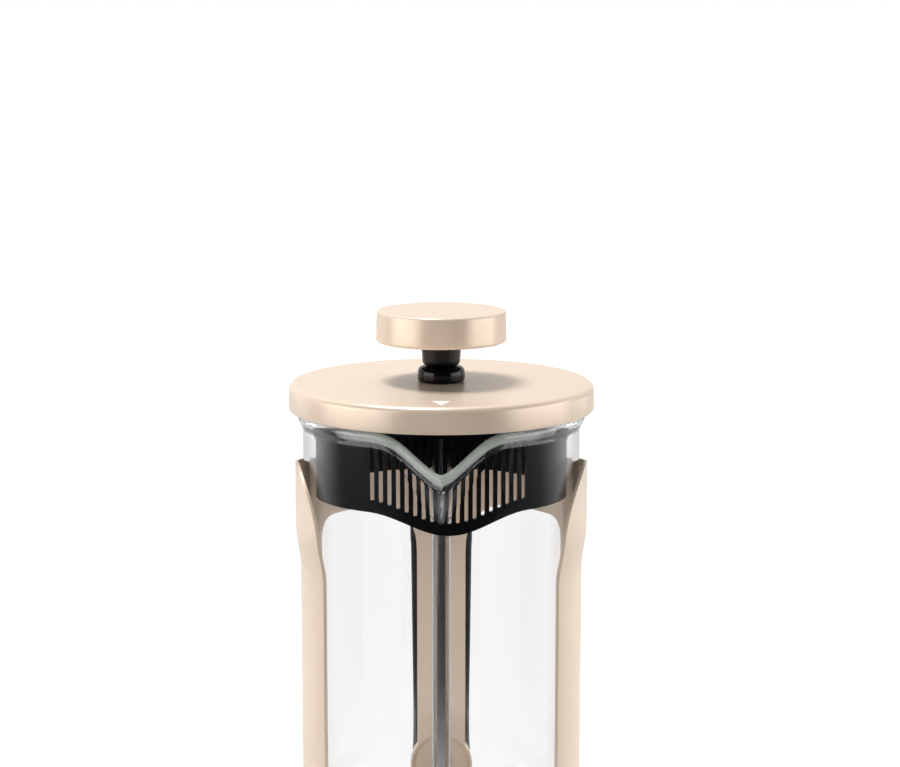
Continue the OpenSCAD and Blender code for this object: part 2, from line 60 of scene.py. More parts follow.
MM = 0.001  # one millimetre in metres, the unit of the scene
record = frame["record"]
nodes = frame["nodes"]

# %% [markdown]
# The main sizes below are read from the CAD nodes, and many places follow from them.
# The lid's lower edge is the height that the camera is set from.

# %% Read the main sizes from the frame
lid_low, lid_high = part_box("lid_cap")
glass_low, glass_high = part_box("glass_beaker")
frame_low, frame_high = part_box("frame_shell")
knob_low, knob_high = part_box("knob_shell")
rod_low, rod_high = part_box("plunger_rod")
lid_z = lid_low.z
lid_top = lid_high.z
rim_z = glass_high.z
print("frame up to %.1f mm" % ((frame_high.z - frame_low.z) / MM))
print("glass from %.1f to %.1f mm" % (glass_low.z / MM, rim_z / MM))
print("rod from %.1f to %.1f mm" % (rod_low.z / MM, rod_high.z / MM))
print("lid edge %.1f mm, knob top %.1f mm" % (lid_z / MM, knob_high.z / MM))

# %% [markdown]
# Colours are written as sRGB hex values, as a paint chart gives them. Shaders work in linear
# light, so one function turns one into the other.

# %% Colour and node helpers
def colour(hex_code):
    """Linear RGBA from an sRGB hex code."""
    parts = [int(hex_code[i:i + 2], 16) / 255 for i in (1, 3, 5)]
    linear = [c / 12.92 if c <= 0.04045 else ((c + 0.055) / 1.055) ** 2.4 for c in parts]
    return (*linear, 1.0)


def add(tree, kind, links=None, values=None, **settings):
    """Adds one node with its settings, socket values and incoming links."""
    made = tree.nodes.new(kind)
    for name, value in settings.items():
        setattr(made, name, value)
    for name, value in (values or {}).items():
        made.inputs[name].default_value = value
    for name, source in (links or {}).items():
        tree.links.new(source, made.inputs[name])
    return made


def new_material(name):
    """An empty material with its output and its Principled shader."""
    material = bpy.data.materials.new(name)
    material.use_nodes = True
    tree = material.node_tree
    tree.nodes.clear()
    shader = add(tree, "ShaderNodeBsdfPrincipled")
    output = add(tree, "ShaderNodeOutputMaterial", {"Surface": shader.outputs["BSDF"]})
    return material, tree, shader, output


def per_mm(size_mm):
    """Texture scale for a pattern whose features repeat every size_mm, in object metres."""
    return 1.0 / (size_mm * MM)


print("a mid grey of #808080 is %.3f in linear light" % colour("#808080")[0])

# %% [markdown]
# Satin pearl enamel, sprayed on steel and baked. Mica flakes in the colour coat act as tiny
# mirrors, which a little metallic stands for, and a clear skin lies over them. Spraying leaves an
# orange peel a millimetre and a half across, and a slightly uneven gloss.

# %% Cream pearl enamel
def cream_enamel():
    material, tree, shader, _ = new_material("cream_pearl_enamel")
    place = add(tree, "ShaderNodeTexCoord").outputs["Object"]
    cloud = add(tree, "ShaderNodeTexNoise", {"Vector": place}, {"Scale": per_mm(25), "Detail": 2.0})
    flakes = add(tree, "ShaderNodeTexNoise", {"Vector": place}, {"Scale": per_mm(0.5), "Detail": 0.0})
    speckle = add(tree, "ShaderNodeMix", {"Factor": flakes.outputs["Fac"]}, data_type="FLOAT")
    tree.links.new(cloud.outputs["Fac"], speckle.inputs[2])
    speckle.inputs[3].default_value = 0.5
    tint = add(tree, "ShaderNodeMix", {"Factor": speckle.outputs[0]}, data_type="RGBA")
    tint.inputs[6].default_value = colour("#ead3bd")
    tint.inputs[7].default_value = colour("#eedac5")
    gloss = add(tree, "ShaderNodeMapRange", {"Value": cloud.outputs["Fac"]},
                {"To Min": 0.30, "To Max": 0.36})
    peel = add(tree, "ShaderNodeTexNoise", {"Vector": place}, {"Scale": per_mm(1.5), "Detail": 1.0})
    bump = add(tree, "ShaderNodeBump", {"Height": peel.outputs["Fac"]},
               {"Strength": 0.12, "Distance": 0.04 * MM})
    tree.links.new(tint.outputs[2], shader.inputs["Base Color"])
    tree.links.new(gloss.outputs["Result"], shader.inputs["Roughness"])
    tree.links.new(bump.outputs["Normal"], shader.inputs["Normal"])
    shader.inputs["Metallic"].default_value = 0.24
    shader.inputs["Specular IOR Level"].default_value = 0.3
    shader.inputs["Coat Weight"].default_value = 0.12
    shader.inputs["Coat Roughness"].default_value = 0.3
    return material


enamel = cream_enamel()
print("made", enamel.name)

# %% [markdown]
# Five black mouldings. The handle and the lid's liner are polypropylene from a spark-eroded mould,
# which leaves a fine even grain and a satin sheen. The gland and collar are polished nylon. The foot
# is moulded rubber and the cushion under the glass is silicone, and both are dull so that they grip.
# They differ in colour, gloss and grain only, so one function makes all of them.

# %% Black mouldings
def moulded_black(name, hex_code, roughness, grain_mm, grain_depth_mm, specular=0.5):
    """A black plastic or rubber whose mould left a grain of this size and depth."""
    material, tree, shader, _ = new_material(name)
    place = add(tree, "ShaderNodeTexCoord").outputs["Object"]
    shader.inputs["Base Color"].default_value = colour(hex_code)
    grain = add(tree, "ShaderNodeTexNoise", {"Vector": place},
                {"Scale": per_mm(grain_mm), "Detail": 2.0})
    wear = add(tree, "ShaderNodeTexNoise", {"Vector": place}, {"Scale": per_mm(18), "Detail": 3.0})
    gloss = add(tree, "ShaderNodeMapRange", {"Value": wear.outputs["Fac"]},
                {"To Min": roughness - 0.04, "To Max": roughness + 0.04})
    bump = add(tree, "ShaderNodeBump", {"Height": grain.outputs["Fac"]},
               {"Strength": 0.3, "Distance": grain_depth_mm * MM})
    tree.links.new(gloss.outputs["Result"], shader.inputs["Roughness"])
    tree.links.new(bump.outputs["Normal"], shader.inputs["Normal"])
    shader.inputs["Specular IOR Level"].default_value = specular
    return material


handle_black = moulded_black("satin_polypropylene_handle", "#070709", 0.4, 0.6, 0.015, 0.15)
liner_black = moulded_black("satin_polypropylene_liner", "#040406", 0.32, 0.5, 0.005, 0.12)
gland_black = moulded_black("polished_nylon", "#08080a", 0.16, 0.8, 0.005, 0.3)
foot_black = moulded_black("moulded_rubber", "#1b1b1b", 0.75, 0.7, 0.06)
cushion_black = moulded_black("silicone_rubber", "#26262a", 0.6, 0.9, 0.04)
print("made the black mouldings")

# %% [markdown]
# Stainless steel in several states. The rod is centreless ground and polished, so it keeps fine
# scratches round its girth. The filter plates are pressed from rolled sheet with a fine grain, and
# the screws are nickel plated. The inserts are brass, turned on a lathe. Fine lines are noise that
# is squeezed across their run, drawn a little coarser than real scratches so that they show.

# %% Steels and brass
def metal(name, hex_code, roughness, stretch, line_mm, depth_mm):
    """A metal with fine lines: stretch is how much longer a line is than wide, along each axis."""
    material, tree, shader, _ = new_material(name)
    place = add(tree, "ShaderNodeTexCoord").outputs["Object"]
    along = add(tree, "ShaderNodeMapping", {"Vector": place})
    along.inputs["Scale"].default_value = [per_mm(line_mm) / s for s in stretch]
    lines = add(tree, "ShaderNodeTexNoise", {"Vector": along.outputs["Vector"]},
                {"Scale": 1.0, "Detail": 3.0})
    gloss = add(tree, "ShaderNodeMapRange", {"Value": lines.outputs["Fac"]},
                {"To Min": roughness * 0.75, "To Max": roughness * 1.25})
    bump = add(tree, "ShaderNodeBump", {"Height": lines.outputs["Fac"]},
               {"Strength": 0.2, "Distance": depth_mm * MM})
    shader.inputs["Base Color"].default_value = colour(hex_code)
    shader.inputs["Metallic"].default_value = 1.0
    tree.links.new(gloss.outputs["Result"], shader.inputs["Roughness"])
    tree.links.new(bump.outputs["Normal"], shader.inputs["Normal"])
    return material


rod_steel = metal("polished_stainless_rod", "#cfcfd1", 0.2, (20, 20, 1), 0.3, 0.004)
plate_steel = metal("rolled_stainless_plate", "#c4c5c8", 0.28, (30, 1, 1), 0.3, 0.01)
screw_steel = metal("nickel_plated_screw", "#c9c6bf", 0.22, (1, 1, 1), 0.8, 0.005)
spring_steel = metal("drawn_spring_wire", "#c6c7ca", 0.2, (1, 1, 1), 0.5, 0.005)
brass = metal("turned_brass", "#b5914a", 0.25, (1, 1, 20), 0.3, 0.01)
print("made the metals")

# %% [markdown]
# Borosilicate glass, blown in a mould. It is clear in the wall. The bead of the rim was melted by a
# flame.
# Light runs along the bead and comes out pale and slightly green, and that glow is painted: the mesh
# carries a value called "bead_glow" that is 1 in the front of the bead, where the glass is tinted pale
# green and made less clear. Lamps have to light what stands inside the glass, so their rays pass
# straight through, which a thin wall of real glass nearly lets them do. A little absorption tints the
# light where the path through the glass is long.

# %% Borosilicate glass
def borosilicate():
    material, tree, shader, output = new_material("borosilicate_glass")
    bead_glow = add(tree, "ShaderNodeAttribute", attribute_name="bead_glow").outputs["Fac"]
    # painted glow of the bead: pale green and less clear, standing in for light running along it
    tint = add(tree, "ShaderNodeMix", {"Factor": bead_glow}, data_type="RGBA")
    tint.inputs[6].default_value = (1, 1, 1, 1)
    tint.inputs[7].default_value = colour("#c4cbc2")
    clear = add(tree, "ShaderNodeMapRange", {"Value": bead_glow}, {"To Min": 1.0, "To Max": 0.45})
    streaks = add(tree, "ShaderNodeTexNoise",
                  {"Vector": add(tree, "ShaderNodeTexCoord").outputs["Object"]},
                  {"Scale": per_mm(3), "Detail": 2.0})
    ripple = add(tree, "ShaderNodeBump", {"Height": streaks.outputs["Fac"], "Strength": bead_glow},
                 {"Distance": 0.15 * MM})
    tree.links.new(tint.outputs[2], shader.inputs["Base Color"])
    tree.links.new(clear.outputs["Result"], shader.inputs["Transmission Weight"])
    tree.links.new(ripple.outputs["Normal"], shader.inputs["Normal"])
    shader.inputs["Roughness"].default_value = 0.0
    shader.inputs["IOR"].default_value = 1.474
    through = add(tree, "ShaderNodeBsdfTransparent", values={"Color": (1, 1, 1, 1)})
    path = add(tree, "ShaderNodeLightPath")
    both = add(tree, "ShaderNodeMixShader", {"Fac": path.outputs["Is Shadow Ray"]})
    tree.links.new(shader.outputs["BSDF"], both.inputs[1])
    tree.links.new(through.outputs["BSDF"], both.inputs[2])
    tree.links.new(both.outputs["Shader"], output.inputs["Surface"])
    haze = add(tree, "ShaderNodeVolumeAbsorption",
               values={"Color": colour("#a8b1b6"), "Density": 18.0})
    tree.links.new(haze.outputs["Volume"], output.inputs["Volume"])
    return material


glass = borosilicate()
print("made", glass.name)

# %% [markdown]
# The CAD names the stock that each piece is made of. One table turns each of those names into its
# finish, so that no piece is forgotten: a name that the table lacks would stop the script.

# %% Give each CAD node its finish
FINISH = {
    "cream_paint": enamel,
    "steel_plate": plate_steel,
    "rod_steel": rod_steel,
    "screw_steel": screw_steel,
    "spring_steel": spring_steel,
    "mesh_steel": plate_steel,
    "brass": brass,
    "handle_plastic": handle_black,
    "liner_plastic": liner_black,
    "gland_plastic": gland_black,
    "foot_rubber": foot_black,
    "silicone": cushion_black,
    "beaker_glass": glass,
}
for row in record["subparts"]:
    node = nodes[row["node"]]
    node.data.materials.clear()
    node.data.materials.append(FINISH[row["material_slot"]])
print("finished", len(record["subparts"]), "CAD nodes")

# %% [markdown]
# Every turned or pressed round piece is one outline spun about the axis, as a lathe makes it. The
# outline is given as corners with a radius, because real edges are never sharp and a rounded edge
# is what catches the light. The helper bends each corner into a short curve, then spins the result.

# %% Spun pieces
def rounded_outline(corners, steps=6):
    """Points of a closed outline; each corner is (radius from the axis, height, corner radius)."""
    points = []
    count = len(corners)
    for i, (r, z, bend) in enumerate(corners):
        here = np.array((r, z))
        before = np.array(corners[i - 1][:2]) - here
        after = np.array(corners[(i + 1) % count][:2]) - here
        if bend <= 0:
            points.append(here)
            continue
        before /= np.linalg.norm(before)
        after /= np.linalg.norm(after)
        half = math.acos(float(np.clip(before @ after, -1, 1))) / 2
        start = before * bend / math.tan(half)
        end = after * bend / math.tan(half)
        for k in range(steps + 1):
            t = k / steps
            points.append(here + (1 - t) ** 2 * start + t ** 2 * end)
    return points


def mesh_object(name, verts, faces, material, body, slot, replaced=None, smooth_angle=40):
    """A mesh piece that rides on a body, shaded smooth except at sharp edges."""
    mesh = bpy.data.meshes.new(name)
    mesh.from_pydata([tuple(v) for v in verts], [], faces)
    mesh.validate()
    bm = bmesh.new()
    bm.from_mesh(mesh)
    bmesh.ops.remove_doubles(bm, verts=bm.verts, dist=0.001 * MM)
    bmesh.ops.recalc_face_normals(bm, faces=bm.faces)
    bm.to_mesh(mesh)
    bm.free()
    mesh.shade_smooth()
    mesh.set_sharp_from_angle(angle=math.radians(smooth_angle))
    mesh.materials.append(material)
    piece = bpy.data.objects.new(name, mesh)
    bpy.context.scene.collection.objects.link(piece)
    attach(piece, body)
    if replaced:
        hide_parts(replaced)
    return piece


def spun(name, corners, material, body, slot, replaced=None, sides=160):
    """A closed outline, in millimetres, spun about the Z axis."""
    outline = rounded_outline(corners)
    verts = []
    for k in range(sides):
        turn = 2 * math.pi * k / sides
        for r, z in outline:
            verts.append((r * MM * math.cos(turn), r * MM * math.sin(turn), z * MM))
    count = len(outline)
    faces = []
    for k in range(sides):
        for i in range(count):
            j = (i + 1) % count
            a, b = k * count, (k + 1) % sides * count
            faces.append((a + i, b + i, b + j, a + j))
    return mesh_object(name, verts, faces, material, body, slot, replaced)


square = [(1.0, 0.0, 0.2), (2.0, 0.0, 0.2), (2.0, 1.0, 0.2), (1.0, 1.0, 0.2)]
print("a square with rounded corners has", len(rounded_outline(square)), "points")

# %% [markdown]
# The beaker is blown borosilicate. Its rim is fire polished, so the edge melts into a thick round
# bead, and while it is soft the spout is pulled out of it. The CAD cuts the spout from plain
# solids; here the whole wall is one grid of points that follows the lip round, thickens into the
# bead and bulges into the spout, which is how the glass itself flows.

# %% Shape of the lip
beaker_r = 48.0  # outside of the wall, in millimetres like all that follow
wall = 2.0  # thickness of the wall
beaker_z = 7.4  # underside of the glass above the table
bottom_t = 3.0  # thickness of the bottom
corner_r = 11.0  # outside corner between the wall and the bottom
bead_r = 1.75  # the melted bead is round
rim_r = 49.8  # how far the rim flares
spout_r = 54.2  # how far the tip of the spout reaches
rim_top = rim_z / MM
bead_path_r = rim_r - bead_r
dip_half = 23.5  # half the width of the dip that the spout makes in the rim
lip_drop = 12.15  # depth of the dip at its middle
spout_out = spout_r - bead_path_r
spout_share = 0.62  # share of the dip's width that is pulled outward


def lip_dip(t):
    """Share of the full dip at a share t of the spout's half width: a V with a rounded nose."""
    nose = 0.07
    return max(0.0, 1 - (math.sqrt(t * t + nose * nose) - nose)) ** (1.1 + 1.4 * t)


def lip_point(turn):
    """Centre of the bead at an angle from the front: x, y, z in millimetres."""
    x = bead_path_r * math.sin(turn)
    front = math.cos(turn) > 0
    t = abs(x) / dip_half
    dip = lip_dip(t) if front and t < 1 else 0.0
    pull = max(0.0, 1 - t / spout_share) if front else 0.0
    pull = spout_out * pull ** 1.15
    y = -bead_path_r * math.cos(turn) - pull
    return x, y, rim_top - bead_r - lip_drop * dip


print("tip of the lip at y %.1f mm, z %.1f mm" % lip_point(0.0)[1:])

# %% [markdown]
# The wall is drawn as columns of points, one for each angle round the axis. A column runs up the
# outside, over the bead and down the inside, and every column has the same number of points, so
# neighbours join into clean quads. Columns crowd together at the spout, where the lip bends most.

# %% The beaker's grid
crowd_half = 28  # degrees to each side of the spout with crowded columns
flare_h = 4.8  # the wall starts to flare this far below the plain rim
thicken_h = 4.5  # the wall thickens into the bead over this height
glow_half = 34  # half the width of the rim where the bead's glow is painted
glow_fade = 14  # it fades to clear glass over this width
corner_out = beaker_r - corner_r
corner_z = beaker_z + corner_r


def glass_turns():
    """Angles round the beaker, crowded together at the spout."""
    crowd = [math.radians(crowd_half) * (k / 60) ** 1.4 for k in range(61)]
    rest = [math.radians(crowd_half + (180 - crowd_half) * k / 110) for k in range(1, 111)]
    half = crowd + rest
    return [-a for a in reversed(half[1:-1])] + half


def wall_column(turn):
    """The section of the glass at one angle: the outside upward, over the bead, the inside down."""
    lip_x, lip_y, lip_z = lip_point(turn)
    lip_r = math.hypot(lip_x, lip_y)
    out = (lip_x / lip_r, lip_y / lip_r)
    mid_r = beaker_r - wall / 2
    bulge = lip_r - mid_r
    drop = rim_top - bead_r - lip_z
    reach = flare_h + drop
    low_z = lip_z - reach
    column = []

    def centre(z):
        t = min(1.0, max(0.0, (z - low_z) / reach))
        flare = math.sin(math.pi / 2 * t) ** 1.6
        return mid_r + bulge * flare

    def half_wall(z):
        t = max(0.0, 1 - (lip_z - z) / thicken_h)
        return wall / 2 + (bead_r - wall / 2) * t * t * (3 - 2 * t)

    straight = [corner_z + (low_z - beaker_z - corner_r) * k / 8 for k in range(8)]
    curved = [low_z + reach * k / 22 for k in range(23)]
    heights = straight + curved
    cap = [math.pi * k / 14 for k in range(1, 14)]
    column.append((0.0, beaker_z))
    for k in range(9):
        a = math.radians(-90 + 90 * k / 9)
        column.append((corner_out + corner_r * math.cos(a), corner_z + corner_r * math.sin(a)))
    column += [(centre(z) + half_wall(z), z) for z in heights]
    column += [(lip_r + bead_r * math.cos(a), lip_z + bead_r * math.sin(a)) for a in cap]
    column += [(centre(z) - half_wall(z), z) for z in reversed(heights)]
    inner_r = corner_r - wall
    for k in range(9):
        a = math.radians(-90 * (k + 1) / 9)
        column.append((corner_out + inner_r * math.cos(a), corner_z + inner_r * math.sin(a)))
    column[-1] = (corner_out, beaker_z + bottom_t)
    column.append((0.0, beaker_z + bottom_t))
    return [(r * out[0] * MM, r * out[1] * MM, z * MM) for r, z in column]


def blown_beaker():
    """The whole glass as one closed skin, with its "bead_glow" value on every point, which marks where
    the bead's glow is painted.
    """
    columns = [wall_column(turn) for turn in glass_turns()]
    count = len(columns[0])
    verts = [point for column in columns for point in column]
    faces = []
    for k in range(len(columns)):
        a, b = k * count, (k + 1) % len(columns) * count
        for i in range(count - 1):
            faces.append((a + i, b + i, b + i + 1, a + i + 1))
    made = mesh_object("blown_beaker", verts, faces, glass, "beaker", "beaker_glass", "glass_beaker",
                       smooth_angle=80)
    # the painted glow is 1 in the front of the bead and fades to clear glass at the sides
    bead_glow = made.data.attributes.new("bead_glow", "FLOAT", "POINT")
    for point, share in zip(made.data.vertices, bead_glow.data):
        x, y, z = point.co / MM
        t = abs(x) / dip_half
        dip = lip_dip(t) if y < 0 and t < 1 else 0.0
        bead_z = rim_top - bead_r - lip_drop * dip
        glow_front = min(1.0, max(0.0, (glow_half - abs(x)) / glow_fade)) if y < 0 else 0.0
        share.value = glow_front * min(1.0, max(0.0, (z - bead_z + 1.7) / 0.7))
    return made


beaker = blown_beaker()
print("beaker has", len(beaker.data.vertices), "points")

# %% [markdown]
# The lid is deep drawn from one disc of steel. Its edge is hemmed inward so that no cut edge shows,
# and the shoulder keeps the radius of the drawing tool. The knob is a small cup drawn in the same
# way and pressed over a moulded core.

# %% Lid and knob
SHEET = 0.8  # thickness of the sheet
HEM = 1.4  # how far the folded edge reaches inward
LID_HOLE_R = 5.9  # hole for the gland's stem
LID_R = lid_high.x / MM
KNOB_R = knob_high.x / MM
lid_mm = (lid_z / MM, lid_top / MM)
knob_mm = (knob_low.z / MM, knob_high.z / MM)
lid_outline = [
    (LID_HOLE_R, lid_mm[1], 0.2),
    (LID_R - 0.1, lid_mm[1], 2.6),
    (LID_R, lid_mm[0], 0.5),
    (LID_R - HEM, lid_mm[0], 0.3),
    (LID_R - HEM, lid_mm[0] + SHEET, 0.1),
    (LID_R - SHEET, lid_mm[0] + SHEET, 0.1),
    (LID_R - 0.9, lid_mm[1] - SHEET, 1.8),
    (LID_HOLE_R, lid_mm[1] - SHEET, 0.2),
]
lid = spun("drawn_lid", lid_outline, enamel, "lid", "cream_paint", "lid_cap", sides=240)
knob_outline = [
    (0, knob_mm[1], 0),
    (KNOB_R - 0.3, knob_mm[1], 1.0),
    (KNOB_R, knob_mm[0], 1.0),
    (KNOB_R - HEM, knob_mm[0], 0.1),
    (KNOB_R - HEM, knob_mm[0] + 0.2, 0),
    (KNOB_R - SHEET, knob_mm[0] + 1.0, 0),
    (KNOB_R - 1.1, knob_mm[1] - SHEET, 0.2),
    (0, knob_mm[1] - SHEET, 0),
]
knob = spun("drawn_knob", knob_outline, enamel, "knob", "cream_paint", "knob_shell", sides=200)
print("lid radius %.1f mm, %d points" % (LID_R, len(lid.data.vertices)))
print("knob radius %.2f mm, %d points" % (KNOB_R, len(knob.data.vertices)))

# %% [markdown]
# Two turned-looking nylon mouldings guide the rod. The gland is a domed bush through the lid, with
# a tight bore. The collar is the foot of the knob's core, and it lands on the gland when the
# plunger is right down, so their facing edges are well rounded.

# %% Gland and collar
gland_low, gland_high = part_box("lid_gland")
core_low, core_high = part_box("knob_core")
rod_bore = rod_high.x / MM + 0.06  # the rod slides with this clearance
stem_r = 5.6  # the gland's stem, through the hole in the lid
dome_r = 8.2
dome_z = lid_mm[1] + 0.05  # the dome rests on the lid
gland_mm = (gland_low.z / MM, gland_high.z / MM)
gland_outline = [
    (rod_bore, gland_mm[0], 0),
    (stem_r, gland_mm[0], 0.3),
    (stem_r, dome_z, 0),
    (dome_r, dome_z, 1.2),
    (dome_r, gland_mm[1], 2.6),
    (rod_bore, gland_mm[1], 0.3),
]
gland = spun("domed_gland", gland_outline, gland_black, "gland", "gland_plastic", "lid_gland",
             sides=96)
collar_low_r = 6.5
collar_top_r = 7.0
insert_r = 4.4  # room for the brass insert
insert_low = core_low.z / MM + 3.5
insert_top = rod_high.z / MM + 0.5
core_mm = (core_low.z / MM, core_high.z / MM)
core_r = core_high.x / MM
core_outline = [
    (rod_bore, core_mm[0], 0.2),
    (collar_low_r, core_mm[0], 2.0),
    (collar_top_r, knob_mm[0] + 0.5, 0.2),
    (core_r, knob_mm[0] + 0.5, 0.2),
    (core_r, core_mm[1], 0.8),
    (0, core_mm[1], 0),
    (0, insert_top, 0),
    (insert_r, insert_top, 0),
    (insert_r, insert_low, 0),
    (rod_bore, insert_low, 0),
]
core = spun("knob_core_and_collar", core_outline, gland_black, "knob", "gland_plastic", "knob_core",
            sides=96)
print("gland from %.1f to %.1f mm," % gland_mm, len(gland.data.vertices), "points")
print("core and collar from %.1f to %.1f mm," % core_mm, len(core.data.vertices), "points")

# %% [markdown]
# The pour mark is a small triangle of white pad-printed ink that points at the spout, so the user
# knows which way the slots of the liner face. Printed ink is a few hundredths of a millimetre
# thick.

# %% Pour mark
def printed_white():
    """White ink with a faint mottle."""
    material, tree, shader, _ = new_material("white_print")
    place = add(tree, "ShaderNodeTexCoord").outputs["Object"]
    cover = add(tree, "ShaderNodeTexNoise", {"Vector": place}, {"Scale": per_mm(0.4), "Detail": 2.0})
    thin = add(tree, "ShaderNodeMix", {"Factor": cover.outputs["Fac"]}, data_type="RGBA")
    thin.inputs[6].default_value = colour("#fffcf5")
    thin.inputs[7].default_value = colour("#ffffff")
    tree.links.new(thin.outputs[2], shader.inputs["Base Color"])
    shader.inputs["Roughness"].default_value = 0.45
    return material


MARK_W = 6.4
MARK_BACK = -40.0  # y of the side away from the spout
MARK_TIP = -47.4  # y of the tip that points at the spout
INK_LOW = 0.005
INK = 0.03
mark_corners = [(-MARK_W / 2, MARK_BACK), (0, MARK_TIP), (MARK_W / 2, MARK_BACK)]
mark_verts = []
for rise in (INK_LOW, INK):
    for x, y in mark_corners:
        mark_verts.append((x * MM, y * MM, lid_top + rise * MM))
pour_mark = mesh_object("pour_mark", mark_verts,
                        [(0, 1, 2), (3, 4, 5), (0, 1, 4, 3), (1, 2, 5, 4), (2, 0, 3, 5)],
                        printed_white(), "lid", "cream_paint")
print("pour mark %.1f mm wide and %.1f mm long," % (MARK_W, MARK_BACK - MARK_TIP),
      len(pour_mark.data.vertices), "points")

# %% [markdown]
# The handle is one thick moulding, bent like a hand-sized C. A mould lets every edge be rounded,
# and a hand wants them so. Its section is a squared oval carried along the bend, wider at the top
# where the thumb presses. Its upper end is hollowed to sit against the round band.

# %% Handle
handle_low, handle_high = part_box("handle")
GRIP = 14.0  # thickness of the grip from front to back
BEND_TOP = 26.0  # outside radius of the upper bend
BEND_LOW = 30.0  # outside radius of the lower bend
LEAN = math.radians(4)  # the grip leans in towards its lower end
BAND_R = 50.9  # the upper end sits against the band of this radius
PAD_Y = 51.5  # the lower end stands on the pad of the rear upright
TAPER = 1.9  # the lower end is narrower by this on each side


def handle_path():
    """Centre line of the handle as (y, z) in millimetres, from its upper end to its lower end."""
    back, top = handle_high.y / MM, handle_high.z / MM
    low = handle_low.z / MM
    top_y, top_z = back - BEND_TOP, top - BEND_TOP
    top_bend, low_bend = BEND_TOP - GRIP / 2, BEND_LOW - GRIP / 2
    low_z = low + BEND_LOW
    low_y = top_y - (BEND_LOW - BEND_TOP + (top_z - low_z) * math.sin(LEAN)) / math.cos(LEAN)
    path = [(BAND_R + (top_y - BAND_R) * k / 5, top - GRIP / 2) for k in range(5)]
    for k in range(25):
        a = math.radians(90) + (-LEAN - math.radians(90)) * k / 24
        path.append((top_y + top_bend * math.cos(a), top_z + top_bend * math.sin(a)))
    grip_top = (top_y + top_bend * math.cos(LEAN), top_z - top_bend * math.sin(LEAN))
    grip_low = (low_y + low_bend * math.cos(LEAN), low_z - low_bend * math.sin(LEAN))
    for k in range(1, 7):
        t = k / 7
        path.append(tuple(a + (b - a) * t for a, b in zip(grip_top, grip_low)))
    for k in range(25):
        a = -LEAN + (LEAN - math.radians(90)) * k / 24
        path.append((low_y + low_bend * math.cos(a), low_z + low_bend * math.sin(a)))
    path += [(low_y + (PAD_Y - low_y) * k / 3, low + GRIP / 2) for k in range(1, 4)]
    return path


def squared_oval(steps=48, power=4.6):
    """Unit outline between an oval and a box."""
    outline = []
    for k in range(steps):
        a = 2 * math.pi * k / steps
        c, s = math.cos(a), math.sin(a)
        size = (abs(c) ** power + abs(s) ** power) ** (-1 / power)
        outline.append((c * size, s * size))
    return outline


def moulded_handle():
    """The squared oval carried along the path, closed at both ends."""
    path = handle_path()
    outline = squared_oval()
    verts = []
    for i, (y, z) in enumerate(path):
        before, after = path[max(0, i - 1)], path[min(len(path) - 1, i + 1)]
        dy, dz = after[0] - before[0], after[1] - before[1]
        length = math.hypot(dy, dz)
        out = (-dz / length, dy / length)
        rise = (z - handle_low.z / MM) / ((handle_high.z - handle_low.z) / MM)
        half_w = handle_high.x / MM - TAPER * (1 - rise)
        for u, v in outline:
            x = u * half_w
            py, pz = y + out[0] * v * GRIP / 2, z + out[1] * v * GRIP / 2
            if i == 0:
                py = math.sqrt(BAND_R ** 2 - x * x)
            verts.append((x * MM, py * MM, pz * MM))
    count = len(outline)
    faces = [tuple(range(count)), tuple(range((len(path) - 1) * count, len(path) * count))]
    for i in range(len(path) - 1):
        for k in range(count):
            j = (k + 1) % count
            faces.append((i * count + k, i * count + j, (i + 1) * count + j, (i + 1) * count + k))
    return mesh_object("moulded_handle", verts, faces, handle_black, "frame", "handle_plastic", "handle")


handle = moulded_handle()
print("handle has", len(handle.data.vertices), "points")

# %% [markdown]
# Two pieces of the filter are made of round wire. A wire is a ring of points carried along a path,
# turned at each step to stand square to it, so one helper serves the coils and the strands.

# %% Wire along a path
def wire(points, radius, sides=6, closed=False):
    """Vertices and faces of a round wire along points in millimetres."""
    path = np.array(points, dtype=float)
    if closed:
        along = np.roll(path, -1, 0) - np.roll(path, 1, 0)
    else:
        along = np.gradient(path, axis=0)
    along /= np.linalg.norm(along, axis=1)[:, None]
    side = np.cross(along, (0.0, 0.0, 1.0))
    side /= np.maximum(np.linalg.norm(side, axis=1), 1e-6)[:, None]
    up = np.cross(side, along)
    verts = []
    for k in range(len(path)):
        for m in range(sides):
            a = 2 * math.pi * m / sides
            verts.append((path[k] + radius * (math.cos(a) * side[k] + math.sin(a) * up[k])) * MM)
    faces = []
    for k in range(len(path) if closed else len(path) - 1):
        a, b = k * sides, (k + 1) % len(path) * sides
        for m in range(sides):
            n = (m + 1) % sides
            faces.append((a + m, a + n, b + n, b + m))
    return verts, faces


straight_wire = wire([(0, 0, 0), (1, 0, 0), (2, 0, 0)], 0.1)
print("a straight wire through three points has", len(straight_wire[1]), "faces")

# %% [markdown]
# The edge seal is a close-wound spring bent into a ring round the filter, which gives way to the
# glass all round. Its path winds round a circle while it goes round the axis. Gaps are left between
# the coils, wider than on a real one, so that the winding shows.

# %% Edge spring
spring_low, spring_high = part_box("edge_spring")
COIL_R = (spring_high.z - spring_low.z) / MM / 2
SPRING_R = spring_high.x / MM - COIL_R
SPRING_Z = (spring_high.z + spring_low.z) / MM / 2
WIRE_R = 0.4
COIL_PITCH = 1.6  # from one coil to the next
COIL_STEPS = 16  # points in one coil
COILS = int(2 * math.pi * SPRING_R / COIL_PITCH)
spring_path = []
for k in range(COILS * COIL_STEPS):
    ring = 2 * math.pi * k / (COILS * COIL_STEPS)
    coil = 2 * math.pi * k / COIL_STEPS
    r = SPRING_R + (COIL_R - WIRE_R) * math.cos(coil)
    z = SPRING_Z + (COIL_R - WIRE_R) * math.sin(coil)
    spring_path.append((r * math.cos(ring), r * math.sin(ring), z))
spring = mesh_object("coiled_edge_spring", *wire(spring_path, WIRE_R, closed=True), spring_steel,
                     "filter", "spring_steel", "edge_spring", smooth_angle=80)
print("spring with", COILS, "coils and", len(spring.data.vertices), "points")

